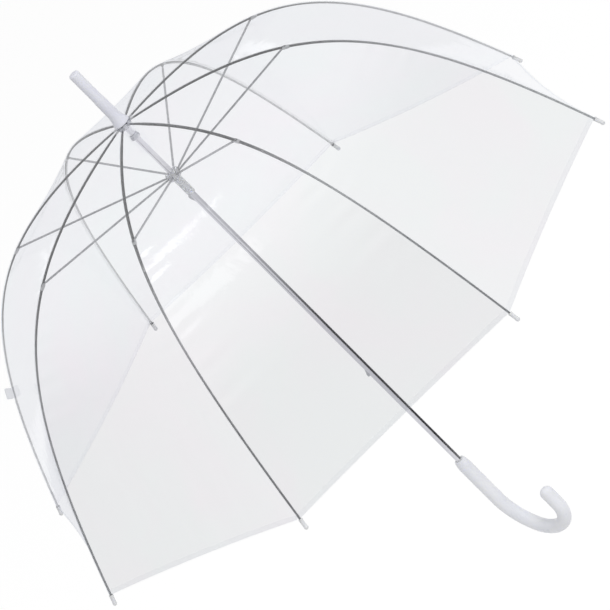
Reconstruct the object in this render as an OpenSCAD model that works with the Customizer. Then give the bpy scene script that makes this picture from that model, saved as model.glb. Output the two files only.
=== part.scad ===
// Clear dome umbrella, open, with eight folding ribs and a crook handle.
// Units are millimetres. +Z runs along the shaft towards the ferrule.
// The origin is the middle of the hand's grip on the handle.
// Rib 1 stands at azimuth -22.5 degrees and the ribs are numbered clockwise seen from the ferrule.

/* [Which piece] */
// The node to draw, or all of them

/* [Canopy] */
// Radius of the circle through the rib tips, canopy open
tip_radius = 445; // [380:1:520]
// Drop from the crown pivots to the rib tips, canopy open
dome_depth = 369; // [300:1:430]
// Slope of the rib where it leaves the crown, degrees below level
crown_slope = 3.4; // [0:0.1:12]
// Slope of the rib at its tip, degrees below level
tip_slope = 68.4; // [50:0.1:85]
// Fullness of the curve near the crown
crown_pull = 254; // [200:1:300]
// Fullness of the curve near the tip
tip_pull = 296; // [220:1:340]
// Share of the curve from the crown to the stretcher joint
joint_share = 0.35; // [0.25:0.01:0.45]
// Thickness of the clear film
film = 0.2; // [0.15:0.05:0.6]
// How far the rim rises halfway between two ribs
scallop = 2; // [1:0.5:20]
// Gap between two neighbouring gores along a rib
seam_gap = 0.3; // [0.1:0.05:1]

/* [Ribs and stretchers] */
// Width of the rib channel
rib_width = 3.2; // [2.6:0.1:5]
// Height of the rib channel
rib_height = 2; // [1.8:0.1:3]
// Sheet thickness of the rib channel
rib_wall = 0.45; // [0.3:0.05:0.7]
// Diameter of a stretcher rod
rod = 2.8; // [1.6:0.1:3]
// Thickness of the flat ends that turn in the slots
lug = 1.6; // [1:0.1:1.8]
// Length of a rib tip cap
cap_length = 14.4; // [12:0.1:30]
// Radius of a rib tip cap
cap_radius = 2.8; // [2.5:0.1:4]

/* [Shaft and runner] */
// Height of the crown pivots over the middle of the grip
crown_height = 672; // [600:1:760]
// Outer radius of the shaft tube
shaft_radius = 4; // [3.5:0.1:5]
// Wall of the shaft tube
shaft_wall = 0.6; // [0.4:0.1:1]
// Radius of the wire ring that the ribs and the stretchers turn on
ring_radius = 8; // [7:0.1:10]
// Outer radius of the crown notch and the runner hub
hub_radius = 9.5; // [9:0.1:12]
// Length of the runner sleeve below its hub
sleeve_length = 28.5; // [20:0.5:45]
// Outer radius of the runner sleeve
sleeve_radius = 5.5; // [5:0.1:7]
// Travel of a spring catch when it is pressed
catch_travel = 3; // [2:0.1:3.2]
// Distance from the crown to the lower catch
lower_catch_drop = 459; // [440:1:480]

/* [Handle and ferrule] */
// Outer radius of the handle
handle_radius = 9.2; // [8:0.1:12]
// Height of the handle's mouth over the middle of the grip
mouth_height = 46.5; // [30:0.5:80]
// Length of the handle's straight part
handle_straight = 74; // [50:1:120]
// Radius of the first, wide bend of the crook
wide_bend = 80; // [60:1:100]
// Angle of the wide bend
wide_angle = 45; // [20:1:60]
// Radius of the second, tight bend of the crook
tight_bend = 36; // [28:1:48]
// Length of the straight end of the crook
crook_end = 19; // [5:1:40]
// Direction the crook points, degrees
crook_azimuth = -54; // [-180:1:180]
// Length of the ferrule over the crown pivots
ferrule_top = 90; // [60:1:120]
// Radius of the ferrule's spike
spike_radius = 6.9; // [5:0.1:8]

/* [Hidden] */
$fn = 48;
eps = 0.01;
clearance = 0.05;
running = 0.1;
steel = [0.72, 0.73, 0.75];
chrome = [0.8, 0.8, 0.82];
white = [0.93, 0.93, 0.95];
milky = [0.86, 0.86, 0.88];
grey = [0.62, 0.63, 0.66];
clear = [0.85, 0.87, 0.9, 0.3];
rib_turn = [0, -22.5, -67.5, -112.5, -157.5, 157.5, 112.5, 67.5, 22.5];
c0 = [ring_radius, 0];
c3 = [tip_radius, -dome_depth];
c1 = c0 + crown_pull * [cos(crown_slope), -sin(crown_slope)];
c2 = c3 - tip_pull * [cos(tip_slope), -sin(tip_slope)];
joint = curve(joint_share);
joint_angle = slope(joint_share);
stretch_run = joint[0] - ring_radius;
stretch_length = norm([stretch_run, joint[1]]);
stretch_angle = atan2(-joint[1], stretch_run);
runner_z = 2 * joint[1];
film_gap = rib_height / 2 + 0.85;
sleeve_end = runner_z - 4.5 - sleeve_length;
mouth_drop = mouth_height - crown_height;
catch_azimuth = 180;
cap_share = 1 - cap_length / (3 * tip_pull);
socket_share = 1 - (cap_length - 8) / (3 * tip_pull);
upper_steps = 8;
lower_steps = 12;

// Point of the rib's curve at share t, as [radius, height]
function curve(t) = pow(1 - t, 3) * c0 + 3 * pow(1 - t, 2) * t * c1
  + 3 * (1 - t) * t * t * c2 + pow(t, 3) * c3;

// Direction of the curve at share t
function along(t) = 3 * pow(1 - t, 2) * (c1 - c0) + 6 * (1 - t) * t * (c2 - c1)
  + 3 * t * t * (c3 - c2);

// Slope of the curve at share t, degrees, negative downwards
function slope(t) = atan2(along(t)[1], along(t)[0]);

// Slope of the straight line from share a to share b, degrees
function chord(a, b) = let (d = curve(b) - curve(a)) atan2(d[1], d[0]);

// Outward normal of the curve at share t
function outward(t) = [-along(t)[1], along(t)[0]] / norm(along(t));

// The share that lies a short way s along the curve from share t
function moved(t, s) = t + s / norm(along(t));

// Evenly spaced shares from a to b in n steps
function shares(a, b, n) = [for (i = [0:n]) a + (b - a) * i / n];

// One corner of the channel: t along the rib, y across it, h over its middle line
function corner(t, y, h) = let (p = curve(t) + outward(t) * h) [p[0], y, p[1]];

// Pressed steel channel along the shares ts, open towards the inside of the dome
module channel(ts) {
  w = rib_width / 2;
  h = rib_height / 2;
  c = rib_wall;
  section = [
    [-w, -h], [-w, h], [w, h], [w, -h],
    [w - c, -h], [w - c, h - c], [-w + c, h - c], [-w + c, -h]
  ];
  n = len(ts) - 1;
  points = [for (t = ts) for (s = section) corner(t, s[0], s[1])];
  walls = [
    for (i = [0:n - 1])
      for (j = [0:7])
        [i * 8 + j, i * 8 + (j + 1) % 8, (i + 1) * 8 + (j + 1) % 8, (i + 1) * 8 + j]
  ];
  first = [[0, 7, 6, 1], [1, 6, 5, 2], [2, 5, 4, 3]];
  last = [
    for (f = [[0, 1, 6, 7], [1, 2, 5, 6], [2, 3, 4, 5]])
      [for (v = f) v + n * 8]
  ];
  polyhedron(points, concat(walls, first, last), convexity = 8);
}

// Places its children at a point of the dome's section, turned to an angle there
module at_point(p, angle) {
  translate([p[0], 0, p[1]])
    rotate([90, 0, 0])
      rotate([0, 0, angle])
        children();
}

// A flat plate of the given thickness, centred on the rib's plane
module plate(thick) {
  translate([0, 0, -thick / 2])
    linear_extrude(thick)
      children();
}

// Turns its children to rib k and lifts them to the crown
module at_rib(k) {
  translate([0, 0, crown_height])
    rotate([0, 0, rib_turn[k]])
      children();
}

// Turns its children to the middle of the gore between rib k and the next one
module at_gore(k) {
  translate([0, 0, crown_height])
    rotate([0, 0, rib_turn[k] - 22.5])
      children();
}

// Upper half of a rib, from the crown wire to the stretcher's rivet
module rib_upper(k) {
  start = moved(0, 8);
  stop = moved(joint_share, -3);
  at_rib(k)
    difference() {
      union() {
        channel(shares(start, stop, upper_steps));
        at_point(c0, slope(0)) {
          plate(lug)
            circle(1.3);
          plate(lug)
            translate([0, -1.15])
              square([9.4, 2.15]);
          plate(rib_width - rib_wall)
            translate([8.1, -1])
              square([1.4, 1.95]);
        }
        for (side = [-1, 1])
          at_point(joint, joint_angle)
            translate([0, 0, side * (rib_width - rib_wall) / 2])
              plate(rib_wall) {
                circle(1.35);
                translate([-3.6, -rib_height / 2])
                  square([3.6, rib_height]);
              }
        at_point(joint, joint_angle) {
          cylinder(r = 0.5, h = 5.6, center = true);
          for (side = [-1, 1])
            translate([0, 0, side * 2.6])
              cylinder(r = 1.1, h = 0.6, center = true);
        }
      }
      at_point(c0, 0)
        cylinder(r = 0.66, h = 4, center = true);
    }
}

// Lower half of a rib, from its cheeks on the rivet down into the tip cap
module rib_lower(k) {
  start = moved(joint_share, 3.4);
  at_rib(k)
    difference() {
      union() {
        channel(shares(start, socket_share, lower_steps));
        for (side = [-1, 1])
          at_point(joint, joint_angle) {
            translate([0, 0, side * 1.95])
              plate(0.5) {
                circle(1.35);
                translate([0, -rib_height / 2])
                  square([6.2, rib_height]);
              }
            translate([0, 0, side * 1.7])
              plate(1)
                translate([3.8, -rib_height / 2 + 0.02])
                  square([2.4, rib_height - 0.1]);
          }
      }
      at_point(joint, 0)
        cylinder(r = 0.58, h = 8, center = true);
    }
}

// Plastic cap over the end of a rib
module rib_tip(k) {
  at_rib(k)
    at_point(curve(1), chord(cap_share, 1))
      rotate([0, -90, 0])
        difference() {
          union() {
            translate([0, 0, cap_radius])
              cylinder(r = cap_radius, h = cap_length - cap_radius);
            translate([0, 0, cap_radius])
              sphere(cap_radius);
          }
          translate([0, 0, cap_length - 8.4])
            cylinder(r = 2.25, h = 9);
        }
}

// Rod from the runner's wire to the rib's rivet
module stretcher(k) {
  at_rib(k)
    at_point([ring_radius, runner_z], stretch_angle)
      difference() {
        union() {
          plate(lug) {
            circle(1.35);
            translate([0, -1])
              square([8.5, 2]);
          }
          plate(lug) {
            translate([stretch_length, 0])
              circle(1.3);
            translate([stretch_length - 10.5, -1])
              square([10.5, 2]);
          }
          translate([6.6, 0, 0])
            rotate([0, 90, 0])
              cylinder(d = rod, h = stretch_length - 15.4, $fn = 24);
        }
        cylinder(r = 0.66, h = 4, center = true);
        translate([stretch_length, 0, 0])
          cylinder(r = 0.58, h = 4, center = true);
      }
}

// Corner of a film panel: share t, side -1 or 1, height over the rib's middle line
function film_point(t, side, h) = let (p = curve(t) + outward(t) * h)
  [p[0] * cos(22.5), side * (p[0] * sin(22.5) - seam_gap / 2), p[1]];

// Clear film between two ribs along the shares ts: flat strips from rib to rib
module film_panel(ts) {
  n = len(ts) - 1;
  points = [
    for (t = ts)
      for (c = [[-1, 0], [1, 0], [1, film], [-1, film]])
        film_point(t, c[0], film_gap + c[1])
  ];
  walls = [
    for (i = [0:n - 1])
      for (j = [0:3])
        [i * 4 + j, (i + 1) * 4 + j, (i + 1) * 4 + (j + 1) % 4, i * 4 + (j + 1) % 4]
  ];
  ends = [[0, 1, 2, 3], [n * 4 + 3, n * 4 + 2, n * 4 + 1, n * 4]];
  polyhedron(points, concat(walls, ends), convexity = 4);
}

// Upper panel of the gore between rib k and the next one
module gore_upper(k) {
  at_gore(k)
    film_panel(concat([-0.0025], shares(moved(0, 8), joint_share, 7)));
}

// Lower panel of the gore, with the scalloped rim
module gore_lower(k) {
  last = moved(cap_share, -0.8);
  edge = film_point(last, 1, film_gap);
  depth = scallop;
  half = edge[1];
  bow = (half * half + depth * depth) / (2 * depth);
  at_gore(k)
    difference() {
      film_panel(concat([moved(joint_share, 0.3)], shares(joint_share + 0.05, last, 12)));
      translate([edge[0], 0, edge[2]])
        rotate([0, rim_lean(last), 0])
          translate([bow - depth, 0, 0])
            cylinder(r = bow, h = 24, center = true, $fn = 720);
    }
}

// Angle of the last film strip below level, seen in the gore's own section
function rim_lean(t) = let (a = film_point(t - 0.03, 1, film_gap), b = film_point(t, 1, film_gap))
  atan2(a[2] - b[2], b[0] - a[0]);

// Shaft tube, with a slot for each catch
module shaft() {
  color(chrome)
    difference() {
      translate([0, 0, mouth_height - 60])
        cylinder(r = shaft_radius, h = crown_height + 40 - mouth_height + 60);
      translate([0, 0, mouth_height - 61])
        cylinder(r = shaft_radius - shaft_wall, h = crown_height + 42 - mouth_height + 60);
      for (z = [upper_catch_z() - 13.6, lower_catch_z() - 0.6])
        translate([-shaft_radius - 1, -0.75, z])
          cube([shaft_radius + 1, 1.5, 14.2]);
    }
}

function upper_catch_z() = crown_height + sleeve_end - 0.7;
function lower_catch_z() = crown_height - lower_catch_drop;

// Spring leaf of a catch: a fin through the shaft's slot on a wide foot inside the tube
module catch_leaf() {
  rotate([90, 0, 0])
    plate(1)
      polygon([
        [-0.2, -16], [-3.2, -16], [-3.2, -13], [-6.6, -3.4], [-6.6, -0.6],
        [-6.1, 0], [-3.2, 0], [-3.2, 3], [-0.2, 3]
      ]);
}

// Catch that holds the canopy open, with its shoulder under the runner
module upper_catch() {
  color(steel)
    translate([0, 0, upper_catch_z()])
      catch_leaf();
}

// Catch that holds the canopy closed, with its shoulder at the lower end
module lower_catch() {
  color(steel)
    translate([0, 0, lower_catch_z()])
      mirror([0, 0, 1])
        catch_leaf();
}

// Slotted hub: eight open slots for the ribs or the stretchers and a groove for the wire
module slotted_hub(bottom, top, bore) {
  difference() {
    translate([0, 0, bottom])
      cylinder(r = hub_radius, h = top - bottom);
    translate([0, 0, bottom - 1])
      cylinder(r = bore, h = top - bottom + 2);
    for (k = [1:8])
      rotate([0, 0, rib_turn[k]])
        translate([ring_radius - 2.4, -1, bottom - 1])
          cube([8, 2, top - bottom + 2]);
    rotate_extrude()
      translate([ring_radius, 0])
        circle(0.55, $fn = 24);
  }
}

// Wire ring that the rib or stretcher eyes turn on
module wire_ring() {
  rotate_extrude()
    translate([ring_radius, 0])
      circle(0.5, $fn = 24);
}

// Crown notch, fixed to the shaft
module crown_notch() {
  color(grey)
    translate([0, 0, crown_height])
      slotted_hub(-4.5, 1.3, shaft_radius + clearance);
}

// Wire that holds the ribs in the crown notch
module crown_wire() {
  color(steel)
    translate([0, 0, crown_height])
      wire_ring();
}

// Small collar that stops the runner below the crown
module top_stop() {
  color(grey)
    translate([0, 0, crown_height - 23])
      difference() {
        union() {
          cylinder(r = 6.4, h = 3);
          cylinder(r = 5.4, h = 6);
        }
        translate([0, 0, -1])
          cylinder(r = shaft_radius + clearance, h = 8);
      }
}

// Runner: slotted hub and sleeve, with a keyway that clears the two catches
module runner() {
  color(milky)
    translate([0, 0, crown_height + runner_z])
      difference() {
        union() {
          slotted_hub(-4.5, 4.5, shaft_radius + running);
          translate([0, 0, -4.5 - sleeve_length])
            cylinder(r = sleeve_radius, h = sleeve_length);
        }
        translate([0, 0, -5.5 - sleeve_length])
          cylinder(r = shaft_radius + running, h = sleeve_length + 12);
        translate([-7, -0.95, -5.5 - sleeve_length])
          cube([7, 1.9, sleeve_length + 12]);
      }
}

// Wire that holds the stretchers in the runner
module runner_wire() {
  color(steel)
    translate([0, 0, crown_height + runner_z])
      wire_ring();
}

// Ferrule: blunt spike that flares into a cap over the film
module ferrule() {
  color(white)
    translate([0, 0, crown_height])
      difference() {
        rotate_extrude()
          polygon(concat(
            [[0, 2.35], [11.3, 2.35], [11.3, 4.4]],
            [for (i = [0:8]) let (s = i / 8) [7.6 + 3.3 * pow(1 - s, 2.2), 5.2 + 15 * s]],
            [[spike_radius + 0.4, 44], [spike_radius, 45], [spike_radius, ferrule_top - 3]],
            [for (a = [15:15:90]) [spike_radius - 3 + 3 * cos(a), ferrule_top - 3 + 3 * sin(a)]],
            [[0, ferrule_top]]
          ));
        cylinder(r = shaft_radius + clearance, h = 40.4);
      }
}

// Collar at the mouth of the handle
module handle_collar() {
  color(grey)
    translate([0, 0, mouth_height + 0.1])
      difference() {
        union() {
          cylinder(r = 5, h = 0.7);
          cylinder(r = 4.7, h = 1);
        }
        translate([0, 0, -1])
          cylinder(r = shaft_radius + clearance, h = 7);
      }
}

// One bend of the crook in the XZ plane, from the angle a to b about the centre
module bend(radius, centre, a, b) {
  translate([centre[0], 0, centre[1]])
    rotate([90, 0, 0])
      rotate([0, 0, a])
        rotate_extrude(angle = b - a, $fn = 96)
          translate([radius, 0])
            circle(handle_radius, $fn = 48);
}

// Crook handle, with a blind bore for the shaft
module handle() {
  low = mouth_height - handle_straight;
  c_wide = [wide_bend, low];
  turn = wide_bend * (1 - cos(wide_angle));
  c_tight = [
    turn + tight_bend * cos(wide_angle),
    low - wide_bend * sin(wide_angle) + tight_bend * sin(wide_angle)
  ];
  far = c_tight[0] + tight_bend;
  color(white)
    rotate([0, 0, crook_azimuth])
      difference() {
        union() {
          translate([0, 0, low - eps])
            cylinder(r = handle_radius, h = handle_straight - 14 + 2 * eps);
          translate([0, 0, mouth_height - 14])
            cylinder(r1 = handle_radius, r2 = 7.2, h = 14);
          bend(wide_bend, c_wide, 180 - eps, 180 + wide_angle + eps);
          bend(tight_bend, c_tight, 180 + wide_angle, 360 + eps);
          translate([far, 0, c_tight[1] - eps])
            cylinder(r = handle_radius, h = crook_end + eps);
          translate([far, 0, c_tight[1] + crook_end])
            sphere(handle_radius);
        }
        translate([0, 0, mouth_height - 60.5])
          cylinder(r = shaft_radius + clearance, h = 62);
      }
}

// Closure strap: a folded tab of clear tape on the film over rib 5
module closure_strap() {
  t = 0.7465;
  color(clear)
    at_rib(5)
      at_point(curve(t) + outward(t) * (film_gap + film + 0.1), slope(t))
        plate(0.8)
          translate([-8, 0])
            offset(r = 1.5, $fn = 24)
              translate([1.5, 1.5])
                square([13, 6]);
}

module rib_1_upper() {
  color(steel)
    rib_upper(1);
}

module rib_1_lower() {
  color(steel)
    rib_lower(1);
}

module rib_1_tip() {
  color(white)
    rib_tip(1);
}

module rib_2_upper() {
  color(steel)
    rib_upper(2);
}

module rib_2_lower() {
  color(steel)
    rib_lower(2);
}

module rib_2_tip() {
  color(white)
    rib_tip(2);
}

module rib_3_upper() {
  color(steel)
    rib_upper(3);
}

module rib_3_lower() {
  color(steel)
    rib_lower(3);
}

module rib_3_tip() {
  color(white)
    rib_tip(3);
}

module rib_4_upper() {
  color(steel)
    rib_upper(4);
}

module rib_4_lower() {
  color(steel)
    rib_lower(4);
}

module rib_4_tip() {
  color(white)
    rib_tip(4);
}

module rib_5_upper() {
  color(steel)
    rib_upper(5);
}

module rib_5_lower() {
  color(steel)
    rib_lower(5);
}

module rib_5_tip() {
  color(white)
    rib_tip(5);
}

module rib_6_upper() {
  color(steel)
    rib_upper(6);
}

module rib_6_lower() {
  color(steel)
    rib_lower(6);
}

module rib_6_tip() {
  color(white)
    rib_tip(6);
}

module rib_7_upper() {
  color(steel)
    rib_upper(7);
}

module rib_7_lower() {
  color(steel)
    rib_lower(7);
}

module rib_7_tip() {
  color(white)
    rib_tip(7);
}

module rib_8_upper() {
  color(steel)
    rib_upper(8);
}

module rib_8_lower() {
  color(steel)
    rib_lower(8);
}

module rib_8_tip() {
  color(white)
    rib_tip(8);
}

module stretcher_1() {
  color(steel)
    stretcher(1);
}

module stretcher_2() {
  color(steel)
    stretcher(2);
}

module stretcher_3() {
  color(steel)
    stretcher(3);
}

module stretcher_4() {
  color(steel)
    stretcher(4);
}

module stretcher_5() {
  color(steel)
    stretcher(5);
}

module stretcher_6() {
  color(steel)
    stretcher(6);
}

module stretcher_7() {
  color(steel)
    stretcher(7);
}

module stretcher_8() {
  color(steel)
    stretcher(8);
}

module gore_1_upper() {
  color(clear)
    gore_upper(1);
}

module gore_1_lower() {
  color(clear)
    gore_lower(1);
}

module gore_2_upper() {
  color(clear)
    gore_upper(2);
}

module gore_2_lower() {
  color(clear)
    gore_lower(2);
}

module gore_3_upper() {
  color(clear)
    gore_upper(3);
}

module gore_3_lower() {
  color(clear)
    gore_lower(3);
}

module gore_4_upper() {
  color(clear)
    gore_upper(4);
}

module gore_4_lower() {
  color(clear)
    gore_lower(4);
}

module gore_5_upper() {
  color(clear)
    gore_upper(5);
}

module gore_5_lower() {
  color(clear)
    gore_lower(5);
}

module gore_6_upper() {
  color(clear)
    gore_upper(6);
}

module gore_6_lower() {
  color(clear)
    gore_lower(6);
}

module gore_7_upper() {
  color(clear)
    gore_upper(7);
}

module gore_7_lower() {
  color(clear)
    gore_lower(7);
}

module gore_8_upper() {
  color(clear)
    gore_upper(8);
}

module gore_8_lower() {
  color(clear)
    gore_lower(8);
}

rib_1_upper();
rib_1_lower();
rib_1_tip();
rib_2_upper();
rib_2_lower();
rib_2_tip();
rib_3_upper();
rib_3_lower();
rib_3_tip();
rib_4_upper();
rib_4_lower();
rib_4_tip();
rib_5_upper();
rib_5_lower();
rib_5_tip();
rib_6_upper();
rib_6_lower();
rib_6_tip();
rib_7_upper();
rib_7_lower();
rib_7_tip();
rib_8_upper();
rib_8_lower();
rib_8_tip();
stretcher_1();
stretcher_2();
stretcher_3();
stretcher_4();
stretcher_5();
stretcher_6();
stretcher_7();
stretcher_8();
gore_1_upper();
gore_1_lower();
gore_2_upper();
gore_2_lower();
gore_3_upper();
gore_3_lower();
gore_4_upper();
gore_4_lower();
gore_5_upper();
gore_5_lower();
gore_6_upper();
gore_6_lower();
gore_7_upper();
gore_7_lower();
gore_8_upper();
gore_8_lower();
shaft();
handle();
handle_collar();
ferrule();
crown_notch();
crown_wire();
top_stop();
runner();
runner_wire();
upper_catch();
lower_catch();
closure_strap();
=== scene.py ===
import math

import bpy
import numpy as np
from mathutils import Matrix, Vector


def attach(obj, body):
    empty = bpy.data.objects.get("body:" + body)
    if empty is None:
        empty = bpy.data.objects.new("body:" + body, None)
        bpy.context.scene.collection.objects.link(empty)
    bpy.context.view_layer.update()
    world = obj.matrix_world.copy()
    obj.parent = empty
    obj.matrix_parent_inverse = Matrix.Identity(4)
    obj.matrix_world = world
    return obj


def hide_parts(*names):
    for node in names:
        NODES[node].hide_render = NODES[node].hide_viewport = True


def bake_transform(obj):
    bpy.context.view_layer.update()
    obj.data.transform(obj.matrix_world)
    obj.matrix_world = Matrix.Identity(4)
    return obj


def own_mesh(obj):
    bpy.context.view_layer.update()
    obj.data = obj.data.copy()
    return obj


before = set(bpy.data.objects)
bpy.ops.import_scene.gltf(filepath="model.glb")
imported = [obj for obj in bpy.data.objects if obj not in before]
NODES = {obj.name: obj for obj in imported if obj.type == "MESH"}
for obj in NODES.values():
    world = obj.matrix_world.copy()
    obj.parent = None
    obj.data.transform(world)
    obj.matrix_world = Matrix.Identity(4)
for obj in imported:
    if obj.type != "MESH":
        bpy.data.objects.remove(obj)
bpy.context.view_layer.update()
SCENE = bpy.context.scene
SCENE.view_settings.view_transform = "Standard"

# ------------------------------------------------ shape: the numbers of part.scad, in metres
CROWN = 0.672  # height of the crown's pivots over the middle of the grip
HALF_STEP = 22.5  # half the angle between two ribs, in degrees
HALF = math.radians(HALF_STEP)
# direction of each rib, in degrees round the shaft
TURN = {1: -22.5, 2: -67.5, 3: -112.5, 4: -157.5, 5: 157.5, 6: 112.5, 7: 67.5, 8: 22.5}
JOINT = 0.35  # place of the rivet on a rib's curve, which runs from 0 at the crown to 1 at the tip
RIM = 0.983  # place on that curve where the film ends
SCALLOP = 0.002  # how far the rim is drawn in between two ribs
FILM_GAP = 0.00185  # inner face of the film over the middle of the rib
FILM_HALF = 0.0001  # half of the film's thickness


def arm(length, degrees):
    """One arm of the rib's cubic curve, at an angle below the level."""
    a = math.radians(degrees)
    return length * np.array([math.cos(a), -math.sin(a)])


C0 = np.array([0.008, 0.0])
C3 = np.array([0.445, -0.369])
C1 = C0 + arm(0.254, 3.4)
C2 = C3 - arm(0.296, 68.4)


def curve(t):
    return (1 - t) ** 3 * C0 + 3 * (1 - t) ** 2 * t * C1 + 3 * (1 - t) * t * t * C2 + t**3 * C3


def along(t):
    return 3 * (1 - t) ** 2 * (C1 - C0) + 6 * (1 - t) * t * (C2 - C1) + 3 * t * t * (C3 - C2)


def unit(t):
    d = along(t)
    return d / np.linalg.norm(d)


def outward(t):
    d = unit(t)
    return np.array([-d[1], d[0]])


def moved(t, s):
    """The place s metres further along the curve."""
    return t + s / np.linalg.norm(along(t))


def turned(p, degrees):
    """Local x, y, z at the crown, turned about the shaft and lifted to the shared frame."""
    a = math.radians(degrees)
    x, y, z = p
    return (x * math.cos(a) - y * math.sin(a), x * math.sin(a) + y * math.cos(a), z + CROWN)


def clamp(x):
    return min(1.0, max(0.0, x))


# ------------------------------------------------ mesh helpers
def piece(name, verts, faces, mat, smooth=True, sharp=40):
    mesh = bpy.data.meshes.new(name)
    mesh.from_pydata([tuple(map(float, v)) for v in verts], [], faces)
    mesh.validate()
    if smooth:
        mesh.shade_smooth()
        if sharp:
            mesh.set_sharp_from_angle(angle=math.radians(sharp))
    obj = bpy.data.objects.new(name, mesh)
    bpy.context.collection.objects.link(obj)
    mesh.materials.append(mat)
    return obj


def grid(rows, close_u=False, close_v=False, caps=False):
    """Points and faces of a grid given row by row."""
    n, m = len(rows), len(rows[0])
    verts = [p for r in rows for p in r]
    faces = []
    for a in range(n if close_u else n - 1):
        b = (a + 1) % n
        for j in range(m if close_v else m - 1):
            c = (j + 1) % m
            faces.append((a * m + j, a * m + c, b * m + c, b * m + j))
    if caps:
        faces.append(tuple(reversed(range(m))))
        faces.append(tuple(range((n - 1) * m, n * m)))
    return verts, faces


def end_face(verts, faces, n):
    """Closes a tube with one face over its last n points."""
    faces.append(tuple(range(len(verts) - n, len(verts))))


def join(*parts):
    verts, faces = [], []
    for v, f in parts:
        k = len(verts)
        verts += list(v)
        faces += [tuple(i + k for i in q) for q in f]
    return verts, faces


def level_ring(r, z, n):
    steps = [2 * math.pi * j / n for j in range(n)]
    return [(r * math.cos(a), r * math.sin(a), z) for a in steps]


def lathe(profile, n):
    """Open surface of revolution about z from (radius, z) pairs."""
    return grid([level_ring(r, z, n) for r, z in profile], close_v=True)


def extruded(outline, hole, half):
    """A plate along y of half thickness half, from an x-z outline.

    The hole has as many points as the outline, or is None.
    """
    sides = [[(x, y, z) for x, z in outline] for y in (-half, half)]
    if not hole:
        return grid(sides, close_v=True, caps=True)
    bores = [[(x, y, z) for x, z in hole] for y in (-half, half)]
    return grid([sides[0], sides[1], bores[1], bores[0]], close_u=True, close_v=True)


def at(p2, d2, part, degrees):
    """Places a part drawn along x at a point and direction of the rib's plane, and turns it."""
    n2 = (-d2[1], d2[0])
    verts, faces = part
    out = []
    for x, y, z in verts:
        out.append(turned((p2[0] + x * d2[0] + z * n2[0], y, p2[1] + x * d2[1] + z * n2[1]), degrees))
    return out, faces


def circle(r, n, cz=0.0, start=0.0, stop=2 * math.pi, closed=True):
    k = n if closed else n - 1
    steps = [start + (stop - start) * i / k for i in range(n)]
    return [(r * math.cos(a), cz + r * math.sin(a)) for a in steps]


# ------------------------------------------------ material helpers
def new_material(name):
    m = bpy.data.materials.new(name)
    m.use_nodes = True
    t = m.node_tree
    t.nodes.clear()
    return m, t, t.nodes.new("ShaderNodeOutputMaterial")


def node(t, kind, **values):
    """A new node: _name sets a property, and Some__Name the input called Some Name."""
    n = t.nodes.new(kind)
    for key, value in values.items():
        if key.startswith("_"):
            setattr(n, key[1:], value)
        else:
            n.inputs[key.replace("__", " ")].default_value = value
    return n


def feed(t, value, socket):
    """Sets a socket to a number or a colour, or links another socket to it."""
    if isinstance(value, bpy.types.NodeSocket):
        t.links.new(value, socket)
    else:
        socket.default_value = (*value, 1) if isinstance(value, tuple) else value


def coords(t, scale=(1, 1, 1)):
    c = node(t, "ShaderNodeTexCoord")
    m = node(t, "ShaderNodeMapping", Scale=scale)
    feed(t, c.outputs["Object"], m.inputs["Vector"])
    return m.outputs["Vector"]


def noise(t, vector, scale, detail, rough, distortion):
    n = node(t, "ShaderNodeTexNoise", Scale=scale, Detail=detail, Roughness=rough, Distortion=distortion)
    feed(t, vector, n.inputs["Vector"])
    return n.outputs["Fac"]


def ramp(t, value, low, high, a=0.0, b=1.0):
    r = node(t, "ShaderNodeMapRange", From__Min=low, From__Max=high, To__Min=a, To__Max=b)
    feed(t, value, r.inputs["Value"])
    return r.outputs["Result"]


def maths(t, operation, *values, clamped=False):
    n = node(t, "ShaderNodeMath", _operation=operation, _use_clamp=clamped)
    for value, socket in zip(values, n.inputs):
        feed(t, value, socket)
    return n.outputs[0]


def mix_colour(t, fac, a, b):
    m = node(t, "ShaderNodeMix", _data_type="RGBA")
    feed(t, fac, m.inputs["Factor"])
    feed(t, a, m.inputs[6])
    feed(t, b, m.inputs[7])
    return m.outputs[2]


def mix_shader(t, fac, a, b):
    m = node(t, "ShaderNodeMixShader")
    for value, socket in zip((fac, a, b), m.inputs):
        feed(t, value, socket)
    return m.outputs[0]


def bump(t, height, strength, distance):
    b = node(t, "ShaderNodeBump", Strength=strength, Distance=distance)
    feed(t, height, b.inputs["Height"])
    return b.outputs["Normal"]


def facing(t, blend, normal=None):
    w = node(t, "ShaderNodeLayerWeight", Blend=blend)
    if normal is not None:
        feed(t, normal, w.inputs["Normal"])
    return w.outputs["Facing"]


MILK = (0.82, 0.83, 0.86, 1)  # the veil's colour
SHEEN = (0.97, 0.98, 1, 1)  # the glossy skin's colour
HEAD_ON = 0.08  # mirrored share of two faces seen head on, for gloss 1
GRAZING = 0.35  # further share at the outline


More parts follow.
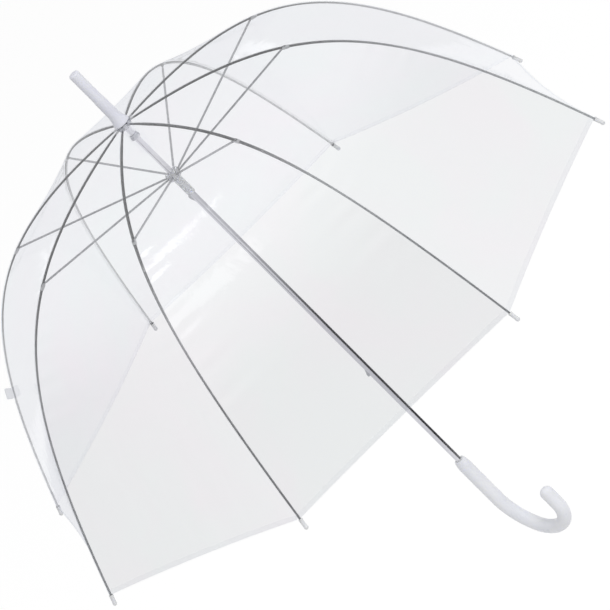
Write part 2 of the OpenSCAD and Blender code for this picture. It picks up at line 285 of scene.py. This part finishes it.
def film_material(name, veil, gloss, rough, tint_a, tint_b, edge, ripple=0.12):
    """Clear vinyl: transparent, with a faint milky veil, a glossy skin and uneven pull marks."""
    m, t, out = new_material(name)
    v = coords(t)
    broad = noise(t, v, 7.0, 3.0, 0.55, 0.6)
    fine = noise(t, v, 46.0, 2.0, 0.5, 0.3)
    pull = noise(t, coords(t, (1.0, 1.0, 0.35)), 17.0, 4.0, 0.6, 1.2)
    normal = bump(t, maths(t, "MULTIPLY_ADD", fine, 0.25, pull), ripple, 0.005)

    tint = mix_colour(t, ramp(t, broad, 0.35, 0.65), tint_a, tint_b)
    tint = mix_colour(t, ramp(t, facing(t, 0.35), 0.2, 0.95), tint, edge)
    clear = node(t, "ShaderNodeBsdfTransparent")
    feed(t, tint, clear.inputs["Color"])
    front = node(t, "ShaderNodeBsdfDiffuse", Color=MILK)
    back = node(t, "ShaderNodeBsdfTranslucent", Color=MILK)
    milky = mix_shader(t, 0.5, front.outputs[0], back.outputs[0])
    base = mix_shader(t, ramp(t, pull, 0.3, 0.75, veil * 0.5, veil * 1.6), clear.outputs[0], milky)

    shine = node(t, "ShaderNodeBsdfAnisotropic", Color=SHEEN)
    feed(t, ramp(t, broad, 0.3, 0.7, rough, rough * 2.2), shine.inputs["Roughness"])
    feed(t, normal, shine.inputs["Normal"])
    power = maths(t, "POWER", facing(t, 0.5, normal), 5.0)
    share = maths(t, "MULTIPLY_ADD", power, GRAZING, HEAD_ON * gloss, clamped=True)
    feed(t, mix_shader(t, share, base, shine.outputs[0]), out.inputs["Surface"])
    return m


def solid_material(name, a, b, rough, scale, stretch=(1, 1, 1), bump_size=0.0, metallic=0.0, coat=0.0,
                   subsurface=0.0, transmission=0.0, ior=1.5, anisotropic=0.0, dark=None):
    """Metal or plastic with mottled colour and roughness; dark is the grey of a painted dark reflection over
    the top of a rib.
    """
    m, t, out = new_material(name)
    n = noise(t, coords(t, stretch), scale, 3.0, 0.55, 0.2)
    p = node(
        t, "ShaderNodeBsdfPrincipled", Metallic=metallic, IOR=ior, Anisotropic=anisotropic,
        Coat__Weight=coat, Coat__Roughness=0.12, Transmission__Weight=transmission,
        Subsurface__Weight=subsurface, Subsurface__Radius=(0.004, 0.004, 0.005), Subsurface__Scale=1.0,
    )
    colour = mix_colour(t, ramp(t, n, 0.35, 0.65), a, b)
    # painted dark reflection: towards the top of the part the colour turns to the grey given by dark
    if dark:
        split = node(t, "ShaderNodeSeparateXYZ")
        feed(t, coords(t), split.inputs[0])
        colour = mix_colour(t, ramp(t, split.outputs["Z"], 0.53, 0.63), colour, (dark, dark, dark * 1.05))
    feed(t, colour, p.inputs["Base Color"])
    feed(t, ramp(t, n, 0.3, 0.7, *rough), p.inputs["Roughness"])
    if bump_size:
        feed(t, bump(t, n, 0.35, bump_size), p.inputs["Normal"])
    feed(t, p.outputs[0], out.inputs["Surface"])
    return m


def steel(name, a, b, rough, scale, **more):
    return solid_material(name, a, b, rough, scale, metallic=1.0, **more)


def glow(name, colour, strength):
    m, t, out = new_material(name)
    e = node(t, "ShaderNodeEmission", Strength=strength)
    feed(t, colour, e.inputs["Color"])
    feed(t, e.outputs[0], out.inputs["Surface"])
    return m


# ------------------------------------------------ materials: two tints and the outline's for film,
# two colours, the range of roughness and the grain's scale for the rest
FILM = film_material("clear_vinyl", 0.015, 2.1, 0.05,
                     (0.94, 0.958, 0.962), (0.958, 0.94, 0.962), (0.92, 0.925, 0.94), 0.10)
HEM = film_material("welded_vinyl", 0.01, 0.22, 0.10,
                    (0.995, 0.997, 1.0), (0.99, 0.99, 0.995), (0.97, 0.975, 0.98), 0.05)
SEAM = film_material("seam_vinyl", 0.02, 0.6, 0.08,
                     (0.99, 0.992, 0.995), (0.985, 0.985, 0.99), (0.96, 0.965, 0.97), 0.05)
TAB = film_material("strap_vinyl", 0.10, 1.0, 0.10,
                    (0.93, 0.935, 0.95), (0.90, 0.905, 0.925), (0.84, 0.845, 0.87))
STEEL = steel("rib_steel", (0.50, 0.505, 0.515), (0.62, 0.625, 0.63), (0.32, 0.46), 90.0,
              bump_size=0.0002, anisotropic=0.4)
# rib steel whose top near the crown is painted nearly black, a painted dark reflection rather than a blued
# finish
PAINTED_DARK_TOP_STEEL = steel("rib_steel_painted_dark_top", (0.52, 0.525, 0.535), (0.64, 0.645, 0.65), (0.34, 0.48), 90.0,
              bump_size=0.0002, anisotropic=0.4, dark=0.035)
# the same rib steel painted lighter for the faces inside the channel: painted light
PAINTED_LIGHT_INSIDE_STEEL = steel("rib_steel_inside_painted_light", (0.66, 0.665, 0.675), (0.78, 0.785, 0.79), (0.25, 0.4), 90.0)
ROD = steel("rod_steel", (0.38, 0.385, 0.40), (0.48, 0.485, 0.50), (0.18, 0.34), 160.0, bump_size=0.0002)
WIRE = steel("wire_steel", (0.45, 0.45, 0.47), (0.58, 0.58, 0.6), (0.2, 0.35), 240.0)
SPRING = steel("spring_steel", (0.5, 0.51, 0.53), (0.62, 0.63, 0.64), (0.18, 0.3), 200.0)
CHROME = steel("shaft_chrome", (0.76, 0.76, 0.79), (0.84, 0.84, 0.87), (0.06, 0.13), 140.0,
               stretch=(1, 1, 0.1), bump_size=0.00005)
WHITE = solid_material("handle_white", (0.80, 0.815, 0.865), (0.84, 0.845, 0.872), (0.24, 0.36), 38.0,
                       stretch=(1, 1, 0.5), bump_size=0.00015, coat=0.25, subsurface=0.12)
SPIKE = solid_material("ferrule_white", (0.70, 0.705, 0.78), (0.74, 0.75, 0.80), (0.26, 0.38), 80.0,
                       stretch=(1, 1, 0.4), bump_size=0.00012, coat=0.2, subsurface=0.1)
CAP = solid_material("cap_white", (0.66, 0.67, 0.69), (0.74, 0.745, 0.76), (0.28, 0.4), 220.0,
                     bump_size=0.0001, subsurface=0.15)
GREY = solid_material("grey_moulded", (0.56, 0.57, 0.60), (0.66, 0.67, 0.70), (0.38, 0.55), 260.0,
                      bump_size=0.0001)
MILKY = solid_material("milky_moulded", (0.84, 0.86, 0.88), (0.90, 0.91, 0.93), (0.22, 0.35), 180.0,
                       bump_size=0.0001, subsurface=0.3, transmission=0.6, ior=1.35)

# ------------------------------------------------ canopy film
ACROSS = 30  # faces across a gore
UPPER = 54  # faces along its upper panel
LOWER = 96  # faces along its lower panel
START = -0.0025  # place on the curve where the film starts, just inside the ribs' roots
RIB_LENGTH = 0.62


def wrinkle(t, v, degrees_mid):
    """Tension wrinkles of the welded vinyl beside each rib, about 30 mm apart, level at the weld itself."""
    u = (1 - abs(v)) / 0.11
    side = 1.7 if v > 0 else 0.0
    s = RIB_LENGTH * t
    turn = math.radians(degrees_mid)
    wave = math.sin(2 * math.pi * s / 0.0305 + turn * 5 + side)
    wave += 0.45 * math.sin(2 * math.pi * s / 0.0187 + turn * 9 + side * 2)
    fade = clamp((t - 0.05) / 0.15) * (1 - 0.55 * t)
    return 0.00026 * wave * fade * u * math.exp(1 - u)


def film_point(degrees_mid, t, v, h=0.0):
    """Point of the film in the gore round degrees_mid: v runs from -1 to 1 across, h stands over it."""
    o = outward(t)
    p = curve(t) + o * (FILM_GAP + FILM_HALF)
    half = p[0] * math.sin(HALF)
    sag = 2 * half * (0.012 + 0.010 * t) * (1 - v * v) + wrinkle(t, v, degrees_mid)
    n = np.array([o[0] * math.cos(HALF), o[1]])
    n = n / np.linalg.norm(n)
    x = p[0] * math.cos(HALF) - n[0] * (sag - h)
    z = p[1] - n[1] * (sag - h)
    return turned((x, v * half, z), degrees_mid)


def rim_share(v):
    return moved(RIM, -SCALLOP * (1 - v * v))


def gore_rows(mid):
    vs = [-math.cos(math.pi * j / ACROSS) for j in range(ACROSS + 1)]
    rows = []
    for i in range(UPPER + 1):
        t = START + (JOINT - START) * i / UPPER
        rows.append([film_point(mid, t, v) for v in vs])
    for i in range(1, LOWER + 1):
        rows.append([film_point(mid, JOINT + (rim_share(v) - JOINT) * i / LOWER, v) for v in vs])
    return rows


def normals_of(rows):
    a = np.array(rows)
    n = np.cross(np.gradient(a, axis=0), np.gradient(a, axis=1))
    return n / np.linalg.norm(n, axis=2, keepdims=True)


def squashed(obj):
    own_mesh(obj)


for k in TURN:
    rows = gore_rows(TURN[k] - HALF_STEP)
    n = normals_of(rows)  # over both panels, so that the fold line stays smooth
    for part, lo, hi in (("upper", 0, UPPER), ("lower", UPPER, UPPER + LOWER)):
        obj = piece(f"film_{k}_{part}", *grid(rows[lo : hi + 1]), FILM, sharp=0)
        normals = n[lo : hi + 1].reshape(-1, 3)
        normals = normals * np.sign(normals[0] @ np.array(obj.data.polygons[0].normal))
        obj.data.normals_split_custom_set_from_vertices(normals.tolist())
        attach(obj, f"gore_{k}_{part}")
        squashed(obj)
        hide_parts(f"gore_{k}_{part}")

# welded hem along the scalloped rim, and the bead of its folded edge:
# distance in from the rim, height over the film
HEM_SECTION = [
    (0.0066, 0.00005), (0.0063, 0.00035), (0.0, 0.0004), (-0.0003, 0.0), (0.0, -0.0004), (0.0063, -0.00035)
]
for k in TURN:
    mid = TURN[k] - HALF_STEP
    vs = [-1 + 2 * j / 40 for j in range(41)]
    rows = [[film_point(mid, moved(rim_share(v), -s), v, h) for v in vs] for s, h in HEM_SECTION]
    hem = piece(f"hem_{k}", *grid(rows), HEM, sharp=60)
    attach(hem, f"gore_{k}_lower")
    squashed(hem)

# ------------------------------------------------ ribs
CAP_POINTS = 28  # points round a tip cap
SEAM_HALF = 0.0019  # half width of the seam over a rib
# clip over the rib's back at the rivet: across, outwards
CLIP_BACK = [
    (-0.0021, 0.0006), (-0.0021, 0.00105), (-0.0019, 0.00135), (-0.0015, 0.0014),
    (0.0015, 0.0014), (0.0019, 0.00135), (0.0021, 0.00105), (0.0021, 0.0006),
]
# the open end of a cheek beside the rivet: along, outwards
CHEEK_END = [(0.0066, -0.0017), (0.0076, -0.0010), (0.0076, 0.0010), (0.0071, 0.00108)]
# rivet: radius and distance from its middle
RIVET_HEAD = [
    (0.0, 0.00285), (0.0004, 0.0028), (0.0008, 0.0026), (0.00105, 0.0023), (0.0011, 0.00218), (0.0005, 0.00214)
]
# tip cap: a tapered sleeve with a ball end, radius and distance along
CAP_PROFILE = [
    (0.00225, 0.0086), (0.00225, 0.0056), (0.0027, 0.0056), (0.0028, 0.0059), (0.0028, 0.0068),
    (0.00262, 0.0072), (0.0025, 0.0125), (0.0024, 0.0138), (0.0026, 0.0148),
]
for a in np.linspace(-0.5, math.pi / 2 - 0.05, 8):
    CAP_PROFILE.append((0.0028 * math.cos(a), 0.01712 + 0.0028 * math.sin(a)))


def blended(obj):
    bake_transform(obj)


def channel_section(w):
    """U section with rounded shoulders, open inwards: y across, h outwards."""
    h, c, r = 0.0010, 0.00045, 0.0005
    pts = [(-w, -h)]
    for i in range(5):
        a = math.pi - i * math.pi / 8
        pts.append((-w + r + r * math.cos(a), h - r + r * math.sin(a)))
    for i in range(5):
        a = math.pi / 2 - i * math.pi / 8
        pts.append((w - r + r * math.cos(a), h - r + r * math.sin(a)))
    pts += [(w, -h), (w - c, -h), (w - c, h - c), (-w + c, h - c), (-w + c, -h)]
    return pts


def channel_rows(degrees):
    """The rib's channel, pinched at its root and narrower below the rivet."""
    start, stop = moved(0, 0.0081), moved(RIM, 0.006)
    rows = []
    for i in range(91):
        t = start + (stop - start) * i / 90
        p, o = curve(t), outward(t)
        pinch = min(1.0, 0.55 + i / 5 * 0.45)
        section = channel_section(0.0016 - 0.0005 * clamp((t - 0.38) / 0.25))
        rows.append([turned((p[0] + o[0] * h, y * pinch, p[1] + o[1] * h), degrees) for y, h in section])
    return rows


def root_lug():
    """Flattened root with its eye for the crown wire."""
    outer = circle(0.0013, 14, start=math.pi / 2, stop=3 * math.pi / 2, closed=False)
    outer += [(0.0094, -0.00105), (0.0094, 0.00095)]
    hole = circle(0.00066, len(outer), start=math.pi / 2)
    return extruded(outer, hole, 0.0008)


def rib_clip():
    """Folded clip round the rib at the stretcher's rivet: two cheeks and a back."""
    parts = []
    for y_cheek in (-0.0019, 0.0019):
        cheek = circle(0.0019, 12, cz=-0.0006, start=math.pi / 2, stop=3 * math.pi / 2, closed=False)
        v, f = extruded(cheek + CHEEK_END, None, 0.00022)
        parts.append(([(x, y + y_cheek, z) for x, y, z in v], f))
    back = [(y, h + 0.00005 - 0.0003) for y, h in CLIP_BACK]
    parts.append(grid([[(x, y, h) for y, h in back] for x in (0.0028, 0.0034, 0.0066, 0.0072)]))
    return join(*parts)


def rivet_shape():
    """Rivet across the rib, with domed heads."""
    v, f = lathe([(r, -z) for r, z in RIVET_HEAD] + [(r, z) for r, z in reversed(RIVET_HEAD)], 20)
    return [(x, z, y) for x, y, z in v], f


def seam_rows(degrees):
    """The edges of two gores, welded together over the rib between them."""
    rows = []
    for i in range(61):
        t = -0.001 + (moved(RIM, -0.0002) + 0.001) * i / 60
        w = min(SEAM_HALF / (curve(t)[0] * math.sin(HALF)), 0.9)
        row = []
        for c in (1.0, 0.93, 0.5, 0.0):
            row.append(film_point(degrees + HALF_STEP, t, -1 + w * c, 0.0003 if c < 1 else 0.0))
        for c in (0.5, 0.93, 1.0):
            row.append(film_point(degrees - HALF_STEP, t, 1 - w * c, 0.0003 if c < 1 else 0.0))
        rows.append(row)
    return rows


def tip_cap():
    v, f = lathe(CAP_PROFILE, CAP_POINTS)
    end_face(v, f, CAP_POINTS)
    return [(z, x, y) for x, y, z in v], f


for k in TURN:
    rows = channel_rows(TURN[k])
    rib = piece(f"rib_{k}", *grid(rows, close_v=True), PAINTED_DARK_TOP_STEEL, sharp=35)
    # the channel's inner faces get the lighter copy of the steel, painted light
    rib.data.materials.append(PAINTED_LIGHT_INSIDE_STEEL)
    width = len(rows[0])
    for i, face in enumerate(rib.data.polygons):
        if i % width >= width - 5:  # the faces that look into the channel
            face.material_index = 1
    blended(rib)
    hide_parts(f"rib_{k}_upper", f"rib_{k}_lower")

    lug = piece(f"rib_root_{k}", *at(C0, unit(0), root_lug(), TURN[k]), STEEL, sharp=35)
    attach(lug, f"rib_{k}_upper")

    clip = piece(f"rib_clip_{k}", *at(curve(JOINT), unit(JOINT), rib_clip(), TURN[k]), STEEL, sharp=35)
    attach(clip, f"rib_{k}_lower")

    rivet = piece(f"rivet_{k}", *at(curve(JOINT), unit(JOINT), rivet_shape(), TURN[k]), WIRE, sharp=50)
    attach(rivet, f"rib_{k}_upper")

    seam = piece(f"seam_{k}", *grid(seam_rows(TURN[k])), SEAM, sharp=60)
    blended(seam)

    tip = curve(1)
    d = tip - curve(moved(RIM, 0.0006))
    d = d / np.linalg.norm(d)
    cap = piece(f"tip_{k}", *at(tip - d * 0.02, d, tip_cap(), TURN[k]), CAP, sharp=45)
    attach(cap, f"rib_{k}_lower")
    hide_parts(f"rib_{k}_tip")

# ------------------------------------------------ carried-over CAD nodes
def finish_node(name, mat):
    """A carried-over CAD node with a procedural finish."""
    o = NODES[name]
    o.data.materials.clear()
    o.data.materials.append(mat)


for k in TURN:
    finish_node(f"stretcher_{k}", ROD)
finish_node("shaft", CHROME)
finish_node("handle_collar", CAP)
finish_node("crown_notch", GREY)
finish_node("crown_wire", WIRE)
finish_node("top_stop", GREY)
finish_node("runner", MILKY)
finish_node("runner_wire", WIRE)
finish_node("upper_catch", SPRING)
finish_node("lower_catch", SPRING)
finish_node("closure_strap", TAB)

# ------------------------------------------------ handle
ROUND = 64  # points round the handle and the ferrule
MOUTH = 0.0465  # height of the handle's top
RADIUS = 0.0092
LIP_RADIUS = 0.0072
LIP_LENGTH = 0.014  # from the lip to the full radius
STRAIGHT = 0.074
WIDE_BEND = 0.080
TIGHT_BEND = 0.036
BEND_CHANGE = math.radians(45)  # direction where the wide bend becomes the tight one
UP_END = 0.019
HANDLE_TURN = math.radians(-54)  # direction of the crook round the shaft


def handle_path():
    """Point across, height, direction and radius: down the grip, round both bends and up the end."""
    out = []
    low = MOUTH - STRAIGHT
    for s in np.linspace(0, 1, 30):
        z = MOUTH + (low - MOUTH) * s
        r = RADIUS
        if MOUTH - z < LIP_LENGTH:
            share = math.sin(math.pi / 2 * (MOUTH - z) / LIP_LENGTH)
            r = LIP_RADIUS + (RADIUS - LIP_RADIUS) * share
        out.append((0.0, z, 0.0, r))
    for a in np.linspace(0, BEND_CHANGE, 22)[1:]:
        out.append((WIDE_BEND * (1 - math.cos(a)), low - WIDE_BEND * math.sin(a), a, RADIUS))
    x0 = out[-1][0] - TIGHT_BEND * (1 - math.cos(BEND_CHANGE))
    z0 = out[-1][1] + TIGHT_BEND * math.sin(BEND_CHANGE)
    for a in np.linspace(BEND_CHANGE, math.pi, 50)[1:]:
        out.append((x0 + TIGHT_BEND * (1 - math.cos(a)), z0 - TIGHT_BEND * math.sin(a), a, RADIUS))
    x1, z1 = out[-1][:2]
    for s in np.linspace(0, UP_END, 8)[1:]:
        out.append((x1, z1 + s, math.pi, RADIUS))
    for b in np.linspace(0, math.pi / 2 - 0.04, 12)[1:]:
        out.append((x1, z1 + UP_END + RADIUS * math.sin(b), math.pi, RADIUS * math.cos(b)))
    return out


# the mouth's inside and flat edge, radius and height
MOUTH_PROFILE = [
    (0.0041, MOUTH - 0.004), (0.0041, MOUTH - 0.0002), (0.0044, MOUTH),
    (0.0069, MOUTH), (0.00715, MOUTH - 0.00015),
]
rows = [level_ring(r, z, ROUND) for r, z in MOUTH_PROFILE]
for x, z, a, r in handle_path()[1:]:
    ring = level_ring(r, 0.0, ROUND)
    rows.append([(x + u * math.cos(a), w, z + u * math.sin(a)) for u, w, _ in ring])
verts, faces = grid(rows, close_v=True)
end_face(verts, faces, ROUND)
c, s = math.cos(HANDLE_TURN), math.sin(HANDLE_TURN)
verts = [(x * c - y * s, x * s + y * c, z) for x, y, z in verts]
handle = piece("handle_crook", verts, faces, WHITE, sharp=40)
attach(handle, "frame")
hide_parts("handle")

# ------------------------------------------------ ferrule: radius and height over the crown
prof = [(0.00405, 0.0404), (0.00405, 0.00235), (0.0109, 0.00235)]
prof += [(0.0113, 0.0027), (0.0113, 0.0042), (0.0110, 0.0047)]
prof += [(0.0076 + 0.0032 * (1 - i / 16) ** 2.2, 0.0052 + 0.015 * i / 16) for i in range(17)]
prof += [(0.0076 - 0.0003 * i / 12, 0.0202 + 0.0238 * i / 12) for i in range(1, 13)]
prof += [(0.0070, 0.0446), (0.0069, 0.0456), (0.0069, 0.066), (0.0069, 0.0870)]
for a in np.linspace(0.15, math.pi / 2, 8):
    prof.append((0.0039 + 0.003 * math.cos(a), 0.087 + 0.003 * math.sin(a)))
prof += [(0.0004, 0.09)]
verts, faces = lathe([(r, z + CROWN) for r, z in prof], ROUND)
end_face(verts, faces, ROUND)
ferrule = piece("ferrule_spike", verts, faces, SPIKE, sharp=40)
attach(ferrule, "frame")
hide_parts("ferrule")

# ------------------------------------------------ floor and studio
FLOOR = -1.3
STUDIO = 0.45  # height of the middle of the mirrored studio


def hidden_from(obj, *rays):
    for ray in rays:
        setattr(obj, f"visible_{ray}", False)


def sphere_rows(radius, z, azimuths, elevations):
    """Rows of a sphere seen from inside, both angles in degrees."""
    rows = []
    for b in np.radians(elevations):
        level, height = radius * math.cos(b), z + radius * math.sin(b)
        rows.append([(level * math.cos(a), level * math.sin(a), height) for a in np.radians(azimuths)])
    return rows


mat, t, out = new_material("floor_pale")
diffuse = node(t, "ShaderNodeBsdfDiffuse", Color=(0.6, 0.6, 0.6, 1))
lit = node(t, "ShaderNodeEmission", Strength=0.56)
both = node(t, "ShaderNodeAddShader")
feed(t, diffuse.outputs[0], both.inputs[0])
feed(t, lit.outputs[0], both.inputs[1])
feed(t, both.outputs[0], out.inputs["Surface"])
corners = [(-40, -40, FLOOR), (40, -40, FLOOR), (40, 40, FLOOR), (-40, 40, FLOOR)]
floor = piece("floor", corners, [(0, 1, 2, 3)], mat, smooth=False)
hidden_from(floor, "diffuse")

# white backdrop that only the camera sees, where a level view looks over the floor's edge
rows = sphere_rows(38, -1.35, np.linspace(0, 360, 48, endpoint=False), np.linspace(0, 89, 12))
backdrop = piece("backdrop", *grid(rows, close_v=True), glow("backdrop_white", (1, 1, 1), 0.98))
hidden_from(backdrop, "diffuse", "glossy", "transmission", "shadow")

world = bpy.data.worlds.new("studio")
SCENE.world = world
world.use_nodes = True
world.node_tree.nodes["Background"].inputs["Color"].default_value = (1, 1, 1, 1)
world.node_tree.nodes["Background"].inputs["Strength"].default_value = 0.68


def flag(name, azimuths, elevations, shade, radius=3.4):
    """A dark screen that only mirrored rays see: it draws the edges of metal and greys the film."""
    rows = sphere_rows(radius, STUDIO, np.linspace(*azimuths, 17), np.linspace(*elevations, 17))
    o = piece(name, *grid(rows), glow(name, (shade, shade, shade * 1.04), 1.0))
    hidden_from(o, "camera", "diffuse", "shadow", "transmission")


flag("flag_shaft", (-70, 34), (-31, -22), 0.03)
flag("flag_upper", (-70, 34), (-22, -16.5), 0.38)
flag("flag_left", (-262, -71), (-31, -16.5), 0.74, radius=3.45)
flag("flag_edge", (-150, -122), (-23, -15), 0.25)


def room():
    """The studio's walls, seen only in mirrored rays: dark low in front, bright overhead and at the back."""
    m, t, out = new_material("room")
    place = node(t, "ShaderNodeTexCoord")
    split = node(t, "ShaderNodeSeparateXYZ")
    feed(t, place.outputs["Object"], split.inputs[0])
    height = ramp(t, split.outputs["Z"], 1.9, 3.8, 0.20, 0.88)
    side = ramp(t, split.outputs["X"], 0.2, 2.6, 0.0, 0.3)
    mix = node(t, "ShaderNodeMix")
    feed(t, ramp(t, split.outputs["Y"], -0.5, 2.2), mix.inputs["Factor"])
    feed(t, maths(t, "ADD", height, side), mix.inputs[2])
    feed(t, 0.84, mix.inputs[3])
    light = node(t, "ShaderNodeEmission")
    feed(t, mix.outputs[0], light.inputs["Strength"])
    feed(t, light.outputs[0], out.inputs["Surface"])
    rows = sphere_rows(3.6, STUDIO, np.linspace(0, 360, 72, endpoint=False), np.linspace(-14, 89.9, 33))
    o = piece("room", *grid(rows, close_v=True), m)
    hidden_from(o, "camera", "diffuse", "shadow", "transmission")


room()


def area_light(name, loc, target, size, power):
    d = bpy.data.lights.new(name, "AREA")
    d.shape = "RECTANGLE"
    d.size, d.size_y = size
    d.energy = power
    o = bpy.data.objects.new(name, d)
    bpy.context.collection.objects.link(o)
    o.location = loc
    o.rotation_mode = "QUATERNION"
    o.rotation_quaternion = (Vector(target) - Vector(loc)).to_track_quat("-Z", "Y")
    return o


key = area_light("key", (2.0, -3.6, 3.0), (0, 0, 0.3), (2.0, 2.0), 95)
hidden_from(key, "glossy")
area_light("streak_high", (0.09, -0.6, 3.55), (-0.09, -0.24, 0.6), (0.22, 0.36), 0.22)
area_light("streak_low", (0.07, -2.0, 3.0), (-0.07, -0.29, 0.55), (0.3, 0.4), 0.12)
area_light("streak_right", (0.9, 3.3, 1.0), (0, 0, 0.6), (0.2, 0.6), 0.15)
area_light("streak_left", (-0.95, 3.3, 0.7), (0, 0, 0.5), (0.2, 0.7), 0.15)

# ------------------------------------------------ camera
IMAGE = 610  # width of the picture in pixels
FOCAL = 4272.8  # focal length in pixels
DISTANCE = 5.2105
az, el, roll = math.radians(1.21), math.radians(19.881), math.radians(-45.04)
back = Vector((math.sin(az) * math.cos(el), -math.cos(az) * math.cos(el), math.sin(el)))
right = Vector((math.cos(az), math.sin(az), 0))
up = back.cross(right)
rolled_right = right * math.cos(roll) + up * math.sin(roll)
rolled_up = up * math.cos(roll) - right * math.sin(roll)
# the aim is not in the middle of the picture, so the camera turns by that many pixels
forward = (-back + rolled_right * (78.28 / FOCAL) - rolled_up * (77.4 / FOCAL)).normalized()
side = (rolled_right - forward * rolled_right.dot(forward)).normalized()
top = side.cross(forward)
place = Vector((0, 0, CROWN - 0.1869)) + back * DISTANCE
cam_data = bpy.data.cameras.new("camera")
cam = bpy.data.objects.new("camera", cam_data)
bpy.context.collection.objects.link(cam)
cam.matrix_world = Matrix((
    (side.x, top.x, -forward.x, place.x),
    (side.y, top.y, -forward.y, place.y),
    (side.z, top.z, -forward.z, place.z),
    (0, 0, 0, 1),
))
cam_data.sensor_width = 36
cam_data.lens = cam_data.sensor_width * FOCAL / IMAGE
cam_data.clip_end = 200
SCENE.camera = cam
